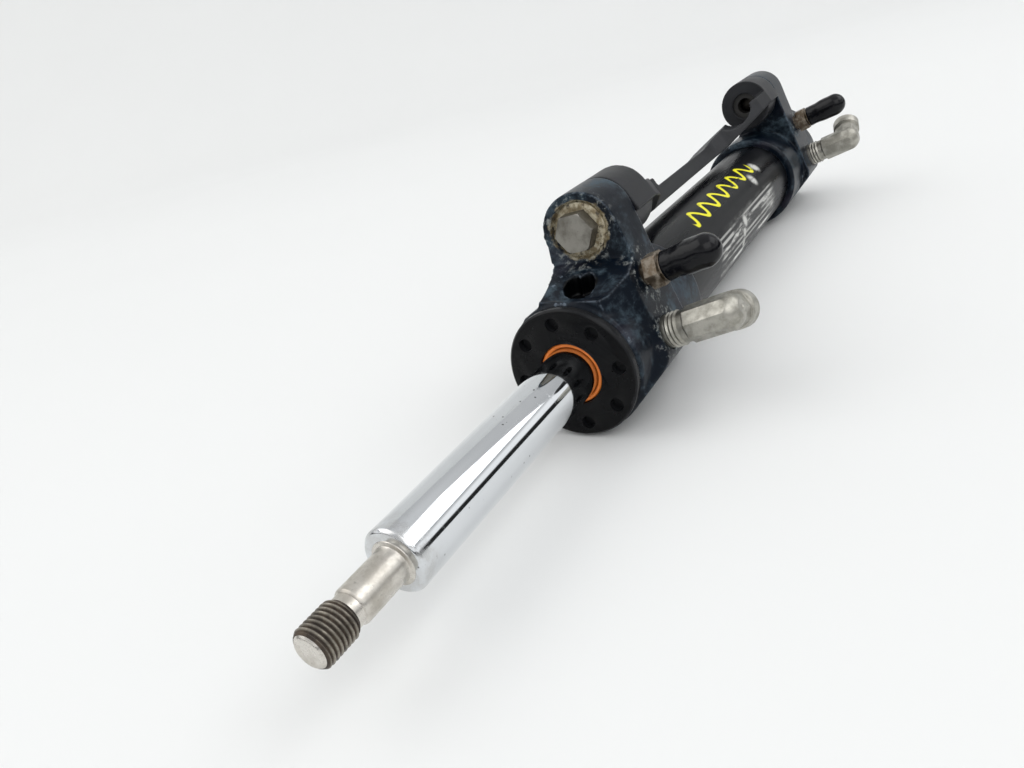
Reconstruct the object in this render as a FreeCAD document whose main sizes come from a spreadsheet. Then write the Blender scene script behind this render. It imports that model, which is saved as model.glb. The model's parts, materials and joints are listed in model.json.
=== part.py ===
import FreeCAD, Part
import os
import re

import Sketcher

from FreeCAD import Placement, Rotation, Vector

# Double-acting steering cylinder, in millimetres.
# The cylinder's axis is the X axis. X = 0 is the outer face of the near gland: the rod leaves it
# towards +X and the barrel runs towards -X. +Z points from the axis to the pivot bolts, +Y to the
# side of the hose ports. "start" and "end" sizes are depths behind the near face, towards -X.
# Pieces of the far end are mirror images about the middle of the body.

SIZES = {
    # whole body
    "body_length": 307.0,
    "barrel_radius": 20.65,
    "bore_radius": 17.5,
    "running_gap": 0.05,
    "body_gap": 0.3,
    # rod
    "rod_radius": 9.525,
    "rod_reach": 99.3,
    "rod_chamfer": 0.8,
    "shank_radius": 5.2,
    "shank_reach": 115.3,
    "relief_radius": 4.6,
    "relief_length": 2.0,
    "thread_radius": 5.55,
    "thread_reach": 129.3,
    "thread_chamfer": 1.0,
    "spigot_radius": 7.0,
    "spigot_end": 180.0,
    # piston
    "piston_start": 146.0,
    "piston_length": 24.0,
    "piston_radius": 17.2,
    "piston_seal_radius": 17.45,
    "piston_seal_width": 5.0,
    "piston_seal_depth": 3.2,
    "wear_ring_radius": 17.42,
    "wear_ring_width": 3.5,
    "wear_ring_depth": 1.4,
    "wear_ring_inset": 2.5,
    "spigot_ring_section": 1.0,
    "nut_flats": 19.0,
    "nut_length": 8.0,
    # gland and blind end plug
    "flange_radius": 23.67,
    "flange_thickness": 3.5,
    "flange_chamfer": 0.8,
    "gland_radius": 20.0,
    "gland_end": 20.8,
    "nose_radius": 15.5,
    "nose_end": 40.0,
    "rod_clearance_radius": 9.7,
    "pin_circle_radius": 18.6,
    "pin_hole_radius": 2.4,
    "pin_hole_depth": 3.0,
    "pin_hole_phase": 9.5,
    "wiper_radius": 11.35,
    "wiper_recess": 0.7,
    "wiper_end": 4.6,
    "rod_seal_radius": 13.0,
    "rod_seal_start": 9.0,
    "rod_seal_end": 14.0,
    "bushing_radius": 11.3,
    "bushing_start": 18.0,
    "bushing_end": 33.0,
    "nut_pocket_radius": 11.8,
    "nut_pocket_depth": 12.5,
    "o_ring_section": 1.0,
    "groove_half_width": 1.3,
    "gland_o_ring_start": 16.5,
    "tube_o_ring_start": 52.0,
    # end casting
    "housing_radius": 24.4,
    "housing_start": 3.8,
    "housing_end": 68.0,
    "housing_chamfer": 1.0,
    "chamber_radius": 19.0,
    "chamber_start": 21.0,
    "chamber_end": 36.0,
    "web_start": 5.0,
    "web_bore_radius": 21.5,
    "web_low_depth": 7.0,
    "web_low_height": 24.4,
    "web_high_height": 31.3,
    "block_start": 19.5,
    "block_end": 44.5,
    "ear_start": 25.3,
    "ear_slant": 8.0,
    "ear_radius": 12.95,
    "boss_height": 42.2,
    "side_angle": 18.0,
    "side_low_depth": 6.0,
    "side_low_distance": 20.0,
    "corner_radius": 5.6,
    "corner_drop": 9.5,
    "corner_angle": 40.0,
    "flank_radius": 28.8,
    "flank_offset": 41.0,
    "flank_height": 33.5,
    "foot_radius": 7.0,
    "foot_offset": 16.3,
    "foot_height": 25.8,
    "spotface_radius": 10.2,
    "spotface_depth": 27.6,
    "window_start": 8.0,
    "window_length": 12.0,
    "window_left": -3.0,
    "window_width": 11.2,
    "window_floor": 21.4,
    # pivot bolt
    "bolt_radius": 3.97,
    "bolt_hole_radius": 4.05,
    "bolt_end": 56.0,
    "bolt_head_flats": 12.7,
    "bolt_head_height": 5.3,
    "washer_radius": 9.3,
    "washer_thickness": 1.2,
    # link
    "sleeve_radius": 12.9,
    "sleeve_end": 62.6,
    "link_bushing_radius": 6.6,
    "link_bushing_recess": 1.2,
    "link_tilt": 31.0,
    "link_arm_top": 35.9,
    "link_bar_low": 24.6,
    "link_bar_top": 31.6,
    "link_bar_start": 120.0,
    "link_bar_back": -1.0,
    "link_bar_front": 11.0,
    "link_swell": 3.0,
    "link_sleeve_low": 29.0,
    # port elbow
    "port_depth_back": 27.3,
    "port_drop": 4.6,
    "port_thread_radius": 6.0,
    "port_thread_depth": 6.5,
    "port_hole_radius": 4.0,
    "crest_radius": 6.4,
    "crest_start": 1.0,
    "crest_pitch": 1.5,
    "neck_radius": 5.7,
    "neck_end": 8.0,
    "elbow_flats": 12.1,
    "elbow_corner": 21.0,
    "elbow_round": 6.7,
    "elbow_bore_radius": 3.0,
    "outlet_start": 6.3,
    "outlet_end": 13.0,
    "outlet_pitch": 0.4,
    "outlet_radius": 6.8,
    "outlet_groove_radius": 6.2,
    "near_outlet_turn": -18.0,
    "far_outlet_turn": 31.0,
    # bleed screw and its cap
    "bleed_depth_back": 30.7,
    "bleed_rise": 16.5,
    "bleed_thread_radius": 3.9,
    "bleed_thread_depth": 8.0,
    "bleed_passage_radius": 1.5,
    "bleed_passage_depth": 20.0,
    "bleed_hex_flats": 11.1,
    "bleed_hex_start": 1.8,
    "bleed_hex_end": 6.7,
    "bleed_collar_radius": 4.8,
    "bleed_collar_height": 1.0,
    "nipple_radius": 3.2,
    "nipple_end": 22.0,
    "nipple_hole_radius": 1.0,
    "cap_start": 7.7,
    "cap_end": 28.0,
    "cap_mouth_radius": 5.5,
    "cap_radius": 5.85,
    "cap_wall": 1.65,
    "cap_round": 1.5,
}
PIN_HOLES = 8
THREAD_CRESTS = 3
OUTLET_GROOVES = 2

doc = FreeCAD.newDocument("steering_cylinder")
sheet = doc.addObject("Spreadsheet::Sheet", "Sizes")
for row, (alias, value) in enumerate(SIZES.items(), start=1):
    sheet.set("A%d" % row, alias)
    sheet.set("B%d" % row, "%g" % value)
    sheet.setAlias("B%d" % row, alias)
doc.recompute()

TOWARDS_MINUS_X = Rotation(Vector(0, 1, 0), -90)
PARTS = []


# --- building blocks -----------------------------------------------------------------------------

def expand(expression):
    """Write the sheet's name in front of every size in an expression."""
    return re.sub(r"[a-z_]+", lambda word: sized(word.group()), expression)


def sized(word):
    return "Sizes." + word if word in SIZES else word


def bind(obj, **expressions):
    """Bind properties to expressions of sizes. A double underscore stands for a dot."""
    for prop, expression in expressions.items():
        obj.setExpression(prop.replace("__", "."), expand(expression))
    return obj


def number(expression):
    return float(sheet.evalExpression(expand(expression)))


def origin_plane(body, role):
    return [item for item in body.Origin.OriginFeatures if item.Role == role][0]


def outline(body, name, role, corners):
    """A closed outline of straight lines in one of the body's origin planes, every corner bound."""
    sketch = body.newObject("Sketcher::SketchObject", name + "_sketch")
    sketch.AttachmentSupport = [(origin_plane(body, role), "")]
    sketch.MapMode = "FlatFace"
    points = [Vector(number(across), number(up), 0) for across, up in corners]
    count = len(points)
    for index, point in enumerate(points):
        sketch.addGeometry(Part.LineSegment(point, points[(index + 1) % count]), False)
    for index in range(count):
        follower = (index + 1) % count
        sketch.addConstraint(Sketcher.Constraint("Coincident", index, 2, follower, 1))
    for index, corner in enumerate(corners):
        place_corner(sketch, index, corner, points[index])
    return sketch


def place_corner(sketch, index, corner, point):
    axes = (("DistanceX", point.x, -2), ("DistanceY", point.y, -1))
    for (kind, distance, axis), expression in zip(axes, corner):
        if abs(distance) < 1e-9:
            sketch.addConstraint(Sketcher.Constraint("PointOnObject", index, 1, axis))
            continue
        constraint = sketch.addConstraint(Sketcher.Constraint(kind, -1, 1, index, 1, distance))
        sketch.setExpression("Constraints[%d]" % constraint, expand(expression))


def turned(name, corners):
    """A piece turned about the X axis from its half outline of (X, radius) corners."""
    body = doc.addObject("PartDesign::Body", name)
    sketch = outline(body, name, "XY_Plane", corners)
    solid = body.newObject("PartDesign::Revolution", name + "_revolution")
    solid.Profile = sketch
    solid.ReferenceAxis = (sketch, ["H_Axis"])
    solid.Angle = 360
    body.Tip = solid
    return body


def slab(name, role, corners, start, length):
    """A straight-sided piece: an outline padded from a height above its plane."""
    body = doc.addObject("PartDesign::Body", name)
    sketch = outline(body, name, role, corners)
    bind(sketch, AttachmentOffset__Base__z=start)
    solid = body.newObject("PartDesign::Pad", name + "_pad")
    solid.Profile = sketch
    bind(solid, Length=length)
    body.Tip = solid
    return body


def make(kind, name):
    return doc.addObject("Part::" + kind, name)


def disc(name, radius, start, end, y="0", z="0"):
    """A cylinder along X between two depths."""
    obj = make("Cylinder", name)
    obj.Placement = Placement(Vector(), TOWARDS_MINUS_X)
    return bind(obj, Radius=radius, Height="(%s) - (%s)" % (end, start),
                Placement__Base__x="-(%s)" % start, Placement__Base__y=y, Placement__Base__z=z)


def hexagon(name, flats, start, end, y="0", z="0", sides=6):
    """A hexagonal or octagonal bar along X between two depths, given across its flats."""
    obj = make("Prism", name)
    obj.Polygon = sides
    obj.Placement = Placement(Vector(), TOWARDS_MINUS_X)
    return bind(obj, Circumradius="%s / 2 / cos(180 / %d)" % (flats, sides),
                Height="(%s) - (%s)" % (end, start),
                Placement__Base__x="-(%s)" % start, Placement__Base__y=y, Placement__Base__z=z)


def o_ring(name, ring_radius, section, middle):
    obj = make("Torus", name)
    obj.Placement = Placement(Vector(), TOWARDS_MINUS_X)
    return bind(obj, Radius1=ring_radius, Radius2=section, Placement__Base__x="-(%s)" % middle)


def fuse(name, *shapes):
    obj = make("MultiFuse", name)
    obj.Shapes = list(shapes)
    return obj


def shared(name, *shapes):
    """What the shapes have in common."""
    obj = make("MultiCommon", name)
    obj.Shapes = list(shapes)
    return obj


def cut(name, base, *tools):
    obj = make("Cut", name)
    obj.Base = base
    obj.Tool = tools[0] if len(tools) == 1 else fuse(name + "_tools", *tools)
    return obj


def ring(name, outer, inner, start, end):
    """A plain ring between two depths, as a turned rectangle."""
    front = "-(%s)" % start
    back = "-(%s)" % end
    return turned(name, [(front, inner), (front, outer), (back, outer), (back, inner)])


def mirrored(name, source):
    """The same piece at the other end of the body."""
    obj = make("Mirroring", name)
    obj.Source = source
    obj.Normal = Vector(1, 0, 0)
    return bind(obj, Base__x="-body_length / 2")


def part(label, obj):
    obj.Label = label
    PARTS.append(obj)
    return obj


def both_ends(label, obj):
    """A piece of the near end and its mirror image at the far end, as two parts."""
    part("near_" + label, obj)
    part("far_" + label, mirrored("far_" + label + "_mirror", obj))


def both_in_one(label, obj):
    """A piece of the near end and its mirror image at the far end, grouped as one part."""
    part(label, fuse(label + "_group", obj, mirrored("far_" + label + "_mirror", obj)))


# --- barrel tube ---------------------------------------------------------------------------------

part("barrel_tube", ring("tube", "barrel_radius", "bore_radius", "chamber_end",
                         "body_length - chamber_end"))


# --- end castings --------------------------------------------------------------------------------

SIDE_DISTANCE = "(ear_radius + boss_height * sin(side_angle))"
# Corners of the window as fractions of its length from the front and of its width from the left.
HEART = [
    (0.0, 0.38), (0.0, 0.78), (0.16, 0.95), (0.4, 1.0), (0.74, 0.9), (0.96, 0.74), (1.0, 0.58),
    (0.88, 0.44), (0.78, 0.38), (0.89, 0.28), (0.86, 0.14), (0.7, 0.02), (0.34, 0.0), (0.12, 0.14),
]


def side_point(distance, rise):
    """Y and Z of a point at a distance from the axis along the ports, moved up along their face."""
    return ("(%s) * cos(side_angle) - (%s) * sin(side_angle)" % (distance, rise),
            "(%s) * sin(side_angle) + (%s) * cos(side_angle)" % (distance, rise))


def housing():
    """The round housing, bored for the gland, the oil chamber, the tube and the tube's O-ring."""
    gland_bore = "gland_radius + running_gap"
    tube_bore = "barrel_radius + running_gap"
    groove = "barrel_radius + 2 * o_ring_section + 2 * running_gap"
    groove_start = "-(tube_o_ring_start - groove_half_width)"
    groove_end = "-(tube_o_ring_start + groove_half_width)"
    return turned("housing", [
        ("-housing_start", gland_bore),
        ("-housing_start", "housing_radius - housing_chamfer"),
        ("-housing_start - housing_chamfer", "housing_radius"),
        ("-housing_end + housing_chamfer", "housing_radius"),
        ("-housing_end", "housing_radius - housing_chamfer"),
        ("-housing_end", tube_bore),
        (groove_end, tube_bore),
        (groove_end, groove),
        (groove_start, groove),
        (groove_start, tube_bore),
        ("-chamber_end", tube_bore),
        ("-chamber_end", "chamber_radius"),
        ("-chamber_start", "chamber_radius"),
        ("-chamber_start", gland_bore),
    ])


def web():
    """The web with its ear and flat port side, hollowed on the left and sloped in front."""
    corner = side_point(SIDE_DISTANCE + " - corner_radius", "-corner_drop")
    corner_low = ("%s + corner_radius * cos(corner_angle)" % corner[0],
                  "%s - corner_radius * sin(corner_angle)" % corner[1])
    profile = slab("web_profile", "YZ_Plane", [
        ("-ear_radius", "boss_height"),
        ("0", "boss_height"),
        ("ear_radius * cos(side_angle)", "boss_height + ear_radius * sin(side_angle)"),
        side_point(SIDE_DISTANCE, "-corner_drop"),
        corner_low,
        ("housing_radius * cos(corner_angle)", "-housing_radius * sin(corner_angle)"),
        ("-housing_radius * sin(60)", "housing_radius * cos(60)"),
    ], "-block_end", "block_end - web_start")
    ear = disc("ear", "ear_radius", "web_start", "block_end", z="boss_height")
    corner_round = disc("corner_round", "corner_radius", "web_start", "block_end", *corner)
    solid = fuse("web_solid", profile, ear, corner_round)
    flank = disc("flank_hollow", "flank_radius", "0", "block_end + 1",
                 y="-flank_offset", z="flank_height")
    foot = disc("foot_hollow", "foot_radius", "0", "block_end + 1",
                y="-foot_offset", z="foot_height")
    bore = disc("web_bore", "web_bore_radius", "0", "block_end + 1")
    return cut("web", solid, flank, foot, bore, ear_front(), side_front())


def ear_front():
    """Clears the space in front of the ear, above the web's slope."""
    tool = slab("ear_front", "XZ_Plane", [
        ("-ear_start", "web_high_height"),
        ("-web_low_depth", "web_low_height"),
        ("ear_radius", "web_low_height"),
        ("ear_radius", "boss_height + 2 * ear_radius"),
        ("-ear_start", "boss_height + 2 * ear_radius"),
    ], "-3 * ear_radius", "6 * ear_radius")
    tool.Placement = Placement(Vector(), Rotation(Vector(0, 0, 1), 1))
    return bind(tool, Placement__Rotation__Angle="ear_slant")


def side_front():
    """Slopes the web's front back to the front edge of the port side."""
    above = SIDE_DISTANCE + " + ear_radius"
    tool = slab("side_front", "XY_Plane", [
        ("-block_start", SIDE_DISTANCE),
        ("-side_low_depth", "side_low_distance"),
        ("ear_radius", "side_low_distance"),
        ("ear_radius", above),
        ("-block_start", above),
    ], "-2 * ear_radius", "6 * ear_radius")
    tool.Placement = Placement(Vector(), Rotation(Vector(1, 0, 0), 1))
    return bind(tool, Placement__Rotation__Angle="side_angle")


def window():
    """The deep heart-shaped window in the web's slope."""
    corners = []
    for along, across in HEART:
        corners.append(("-window_start - %g * window_length" % along,
                        "window_left + %g * window_width" % across))
    return slab("window", "XY_Plane", corners, "window_floor", "2 * ear_radius")


def on_side(obj, depth_back, rise, turn="0"):
    """Stand a fitting on the port side: its own X axis points outwards and its own Z axis to +X."""
    stand = Rotation(Vector(1, 0, 0), number("side_angle")).multiply(Rotation(Vector(1, 1, 1), 120))
    turned_stand = stand.multiply(Rotation(Vector(1, 0, 0), number(turn)))
    obj.Placement = Placement(Vector(), turned_stand)
    y, z = side_point(SIDE_DISTANCE, rise)
    return bind(obj, Placement__Base__x="-(%s)" % depth_back, Placement__Base__y=y,
                Placement__Base__z=z)


def side_hole(name, steps, depth_back, rise):
    """A stepped hole drilled into the port side. Each step is its depth and radius."""
    corners = [("2", "0"), ("2", steps[0][1])]
    for index, (depth, radius) in enumerate(steps):
        corners.append(("-" + depth, radius))
        inner = steps[index + 1][1] if index + 1 < len(steps) else "0"
        corners.append(("-" + depth, inner))
    return on_side(turned(name, corners), depth_back, rise)


def end_casting():
    solid = fuse("casting_solid", housing(), web())
    spotface = disc("spotface", "spotface_radius", "0", "spotface_depth", z="boss_height")
    bolt_hole = disc("bolt_hole", "bolt_hole_radius", "0", "block_end + 1", z="boss_height")
    port = side_hole("port_hole", [
        ("port_thread_depth", "port_thread_radius + running_gap"),
        ("2 * port_thread_depth", "port_hole_radius"),
    ], "port_depth_back", "-port_drop")
    bleed = side_hole("bleed_hole", [
        ("bleed_thread_depth", "bleed_thread_radius + running_gap"),
        ("bleed_passage_depth", "bleed_passage_radius"),
    ], "bleed_depth_back", "bleed_rise")
    return cut("casting", solid, spotface, bolt_hole, port, bleed, window())


both_ends("end_casting", end_casting())


# --- gland, end plug and their seals --------------------------------------------------------------

def flanged(name, inner_corners):
    """The outside that the gland and the end plug share, closed by the corners of their inside."""
    groove = "gland_radius - 2 * o_ring_section - running_gap"
    groove_start = "-(gland_o_ring_start - groove_half_width)"
    groove_end = "-(gland_o_ring_start + groove_half_width)"
    solid = turned(name + "_blank", [
        ("0", "flange_radius - flange_chamfer"),
        ("-flange_chamfer", "flange_radius"),
        ("-flange_thickness", "flange_radius"),
        ("-flange_thickness", "gland_radius"),
        (groove_start, "gland_radius"),
        (groove_start, groove),
        (groove_end, groove),
        (groove_end, "gland_radius"),
        ("-gland_end", "gland_radius"),
        ("-gland_end", "nose_radius"),
        ("-nose_end", "nose_radius"),
    ] + inner_corners)
    return cut(name, solid, *pin_holes(name))


def pin_holes(name):
    """The spanner's holes, spaced evenly round the flange."""
    holes = []
    for index in range(PIN_HOLES):
        angle = "(pin_hole_phase - 360 / %d * %d)" % (PIN_HOLES, index)
        holes.append(disc("%s_pin_hole_%d" % (name, index), "pin_hole_radius", "-1",
                          "pin_hole_depth", y="pin_circle_radius * cos%s" % angle,
                          z="pin_circle_radius * sin%s" % angle))
    return holes


def pocket(start, end, radius):
    """The four corners of a groove in the gland's bore, from the deep end to the front."""
    return [
        ("-" + end, "rod_clearance_radius"),
        ("-" + end, radius + " + running_gap"),
        ("-" + start, radius + " + running_gap"),
        ("-" + start, "rod_clearance_radius"),
    ]


gland_inside = [("-nose_end", "rod_clearance_radius")]
gland_inside += pocket("bushing_start", "bushing_end", "bushing_radius")
gland_inside += pocket("rod_seal_start", "rod_seal_end", "rod_seal_radius")
gland_inside += [
    ("-wiper_end", "rod_clearance_radius"),
    ("-wiper_end", "wiper_radius + running_gap"),
    ("0", "wiper_radius + running_gap"),
]
part("near_gland", flanged("gland", gland_inside))

plug_inside = [
    ("-nose_end", "nut_pocket_radius"),
    ("-nose_end + nut_pocket_depth", "nut_pocket_radius"),
    ("-nose_end + nut_pocket_depth", "0"),
    ("0", "0"),
]
part("far_end_plug", mirrored("plug_mirror", flanged("plug", plug_inside)))

RUNNING_RADIUS = "rod_radius + running_gap"
part("rod_wiper", turned("wiper", [
    ("-wiper_recess", "wiper_radius"),
    ("-wiper_end", "wiper_radius"),
    ("-wiper_end", "rod_clearance_radius"),
    ("-2 * wiper_recess", RUNNING_RADIUS),
    ("-wiper_recess", RUNNING_RADIUS),
]))
part("rod_seal", ring("seal", "rod_seal_radius", RUNNING_RADIUS, "rod_seal_start", "rod_seal_end"))
part("rod_bushing", ring("bushing", "bushing_radius", RUNNING_RADIUS, "bushing_start",
                         "bushing_end"))
both_ends("gland_o_ring", o_ring("gland_ring", "gland_radius - o_ring_section", "o_ring_section",
                                 "gland_o_ring_start"))
both_ends("tube_o_ring", o_ring("tube_ring", "barrel_radius + o_ring_section + running_gap",
                                "o_ring_section", "tube_o_ring_start"))


# --- rod and piston -------------------------------------------------------------------------------

part("piston_rod", turned("rod", [
    ("-spigot_end", "0"),
    ("-spigot_end", "spigot_radius - rod_chamfer"),
    ("-spigot_end + rod_chamfer", "spigot_radius"),
    ("-piston_start", "spigot_radius"),
    ("-piston_start", "rod_radius"),
    ("rod_reach - rod_chamfer", "rod_radius"),
    ("rod_reach", "rod_radius - rod_chamfer"),
    ("rod_reach", "shank_radius"),
    ("shank_reach", "shank_radius"),
    ("shank_reach", "relief_radius"),
    ("shank_reach + relief_length", "relief_radius"),
    ("shank_reach + relief_length", "thread_radius"),
    ("thread_reach - thread_chamfer", "thread_radius"),
    ("thread_reach", "thread_radius - thread_chamfer"),
    ("thread_reach", "0"),
]))

PISTON_END = "piston_start + piston_length"
PISTON_MIDDLE = "piston_start + piston_length / 2"
SPIGOT_BORE = "spigot_radius + running_gap"


def piston_groove(start, width, depth):
    """The corners of a groove round the piston, from front to back."""
    return [
        ("-(%s)" % start, "piston_radius"),
        ("-(%s)" % start, "piston_radius - " + depth),
        ("-(%s) - %s" % (start, width), "piston_radius - " + depth),
        ("-(%s) - %s" % (start, width), "piston_radius"),
    ]


FRONT_WEAR_RING = "piston_start + wear_ring_inset"
BACK_WEAR_RING = "piston_start + piston_length - wear_ring_inset - wear_ring_width"
SEAL_START = "piston_start + piston_length / 2 - piston_seal_width / 2"
SPIGOT_GROOVE_RADIUS = "spigot_radius + 2 * spigot_ring_section + 2 * running_gap"

part("piston", turned("piston_blank", [
    ("-piston_start", SPIGOT_BORE),
    ("-piston_start", "piston_radius"),
    *piston_groove(FRONT_WEAR_RING, "wear_ring_width", "wear_ring_depth"),
    *piston_groove(SEAL_START, "piston_seal_width", "piston_seal_depth"),
    *piston_groove(BACK_WEAR_RING, "wear_ring_width", "wear_ring_depth"),
    ("-(%s)" % PISTON_END, "piston_radius"),
    ("-(%s)" % PISTON_END, SPIGOT_BORE),
    ("-(%s) - groove_half_width" % PISTON_MIDDLE, SPIGOT_BORE),
    ("-(%s) - groove_half_width" % PISTON_MIDDLE, SPIGOT_GROOVE_RADIUS),
    ("-(%s) + groove_half_width" % PISTON_MIDDLE, SPIGOT_GROOVE_RADIUS),
    ("-(%s) + groove_half_width" % PISTON_MIDDLE, SPIGOT_BORE),
]))
part("piston_seal", ring("seal_ring", "piston_seal_radius", "piston_radius - piston_seal_depth + "
                         "running_gap", SEAL_START + " + running_gap",
                         SEAL_START + " + piston_seal_width - running_gap"))
part("piston_wear_rings", fuse("wear_rings", *[
    ring("wear_ring_" + place, "wear_ring_radius", "piston_radius - wear_ring_depth + running_gap",
         start + " + running_gap", start + " + wear_ring_width - running_gap")
    for place, start in (("front", FRONT_WEAR_RING), ("back", BACK_WEAR_RING))
]))
part("piston_o_ring", o_ring("spigot_ring", "spigot_radius + spigot_ring_section + running_gap",
                             "spigot_ring_section", PISTON_MIDDLE))
part("piston_nut", cut("nut", hexagon("nut_blank", "nut_flats", PISTON_END,
                                      PISTON_END + " + nut_length"),
                       disc("nut_bore", SPIGOT_BORE, "piston_start", "spigot_end")))


# --- pivot bolts and link -------------------------------------------------------------------------

HEAD_BACK = "spotface_depth - washer_thickness"
bolt = fuse("bolt",
            hexagon("bolt_head", "bolt_head_flats", HEAD_BACK + " - bolt_head_height", HEAD_BACK,
                    z="boss_height"),
            disc("bolt_shank", "bolt_radius", HEAD_BACK, "bolt_end", z="boss_height"))
both_in_one("pivot_bolts", bolt)

washer = cut("washer",
             disc("washer_blank", "washer_radius", HEAD_BACK, "spotface_depth", z="boss_height"),
             disc("washer_hole", "bolt_hole_radius", "0", "block_end", z="boss_height"))
both_in_one("pivot_bolt_washers", washer)

PIVOT_ACROSS = "boss_height * sin(link_tilt)"
PIVOT_UP = "boss_height * cos(link_tilt)"
SLEEVE_START = "block_end + body_gap"


def tilt(obj):
    """Turn a piece that is drawn square about the cylinder's axis to the link's own angle."""
    obj.Placement = Placement(Vector(), Rotation(Vector(1, 0, 0), 1))
    return bind(obj, Placement__Rotation__Angle="link_tilt")


def link_arm():
    """The arm that sweeps from the sleeve beside the barrel down to the bar above it."""
    bar_bend = "(link_bar_start - sleeve_radius)"
    sweep = "(link_bar_start - sleeve_end) / 6"
    arm = slab("arm_profile", "XY_Plane", [
        ("-(%s)" % SLEEVE_START, PIVOT_ACROSS + " + sleeve_radius / 2"),
        ("-(%s)" % SLEEVE_START, PIVOT_ACROSS + " + sleeve_radius"),
        ("-sleeve_end", PIVOT_ACROSS + " + sleeve_radius"),
        ("-sleeve_end - " + sweep, PIVOT_ACROSS + " + 0.75 * sleeve_radius"),
        ("-%s + %s" % (bar_bend, sweep), "link_bar_front + link_swell"),
        ("-" + bar_bend, "link_bar_front"),
        ("-link_bar_start", "link_bar_front"),
        ("-link_bar_start", "link_bar_back"),
        ("-" + bar_bend, "link_bar_back + link_swell / 4"),
        ("-%s + %s" % (bar_bend, sweep), "link_bar_back + 2 * link_swell"),
        ("-sleeve_end - " + sweep + " / 2", PIVOT_ACROSS + " + sleeve_radius / 2"),
    ], "link_bar_low", "link_arm_top - link_bar_low")
    below = slab("arm_below", "XZ_Plane", [
        ("-%s + %s" % (bar_bend, sweep), "link_bar_low"),
        ("-sleeve_end", "link_sleeve_low"),
        ("0", "link_sleeve_low"),
        ("0", "0"),
        ("-%s + %s" % (bar_bend, sweep), "0"),
    ], "-2 * boss_height", "4 * boss_height")
    return cut("arm", arm, below)


def flush_arm(arm):
    """The far arm's top slopes down until it is flush with the bar."""
    above = slab("arm_above", "XZ_Plane", [
        ("-link_bar_start - 1", "link_bar_top"),
        ("-link_bar_start", "link_bar_top"),
        ("-sleeve_end - sleeve_radius", "link_arm_top"),
        ("-sleeve_end - sleeve_radius", "link_arm_top + 1"),
        ("-link_bar_start - 1", "link_arm_top + 1"),
    ], "-2 * boss_height", "4 * boss_height")
    return cut("flush_arm", arm, above)


def pivot_link():
    near_arm = link_arm()
    sleeve = disc("sleeve", "sleeve_radius", SLEEVE_START, "sleeve_end", y=PIVOT_ACROSS, z=PIVOT_UP)
    bar = slab("link_bar", "XY_Plane", [
        ("-link_bar_start", "link_bar_back"),
        ("-link_bar_start", "link_bar_front"),
        ("-body_length + link_bar_start", "link_bar_front"),
        ("-body_length + link_bar_start", "link_bar_back"),
    ], "link_bar_low", "link_bar_top - link_bar_low")
    bore = disc("link_bore", "link_bushing_radius", "0", "body_length", y=PIVOT_ACROSS, z=PIVOT_UP)
    solid = fuse("link_solid", near_arm, sleeve, bar, mirrored("far_sleeve", sleeve),
                 mirrored("far_arm", flush_arm(near_arm)))
    return tilt(cut("link", solid, bore))


part("pivot_link", pivot_link())
link_bushing = cut("link_bushing_ring",
                   disc("link_bushing_blank", "link_bushing_radius", SLEEVE_START,
                        "sleeve_end - link_bushing_recess", z="boss_height"),
                   disc("link_bushing_bore", "bolt_hole_radius", "0", "body_length",
                        z="boss_height"))
both_ends("link_bushing", link_bushing)


# --- port elbows ----------------------------------------------------------------------------------

def elbow(name):
    """A forged elbow: pipe thread, eight-sided neck, rounded corner, and a grooved outlet."""
    crests = []
    for index in range(THREAD_CRESTS):
        root = "crest_start + crest_pitch * %d" % index
        crests += [(root, "neck_radius"), (root + " + crest_pitch / 2", "crest_radius")]
    stem = turned(name + "_stem", [
        ("-port_thread_depth + running_gap", "0"),
        ("-port_thread_depth + running_gap", "port_thread_radius"),
        ("crest_start", "port_thread_radius"),
        *crests,
        ("crest_start + crest_pitch * %d" % THREAD_CRESTS, "neck_radius"),
        ("neck_end", "neck_radius"),
        ("neck_end", "0"),
    ])
    neck = hexagon(name + "_neck", "elbow_flats", "-elbow_corner", "-neck_end", sides=8)
    corner_bar = hexagon(name + "_corner_bar", "elbow_flats", "-elbow_corner - elbow_flats / 2",
                         "-neck_end", sides=8)
    ball = make("Sphere", name + "_ball")
    bind(ball, Radius="elbow_round", Placement__Base__x="elbow_corner")
    corner = shared(name + "_corner", corner_bar, ball)
    leg = make("Prism", name + "_leg")
    leg.Polygon = 8
    bind(leg, Circumradius="elbow_flats / 2 / cos(180 / 8)", Height="outlet_start",
         Placement__Base__x="elbow_corner", Placement__Base__z="-outlet_start")
    outlet = outlet_rings(name)
    bore = disc(name + "_bore", "elbow_bore_radius", "-elbow_corner", "port_thread_depth + 1")
    outlet_bore = make("Cylinder", name + "_outlet_bore")
    bind(outlet_bore, Radius="elbow_bore_radius", Height="outlet_end + 1",
         Placement__Base__x="elbow_corner", Placement__Base__z="-outlet_end - 1")
    return cut(name, fuse(name + "_forging", stem, neck, corner, leg, outlet), bore, outlet_bore)


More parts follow.
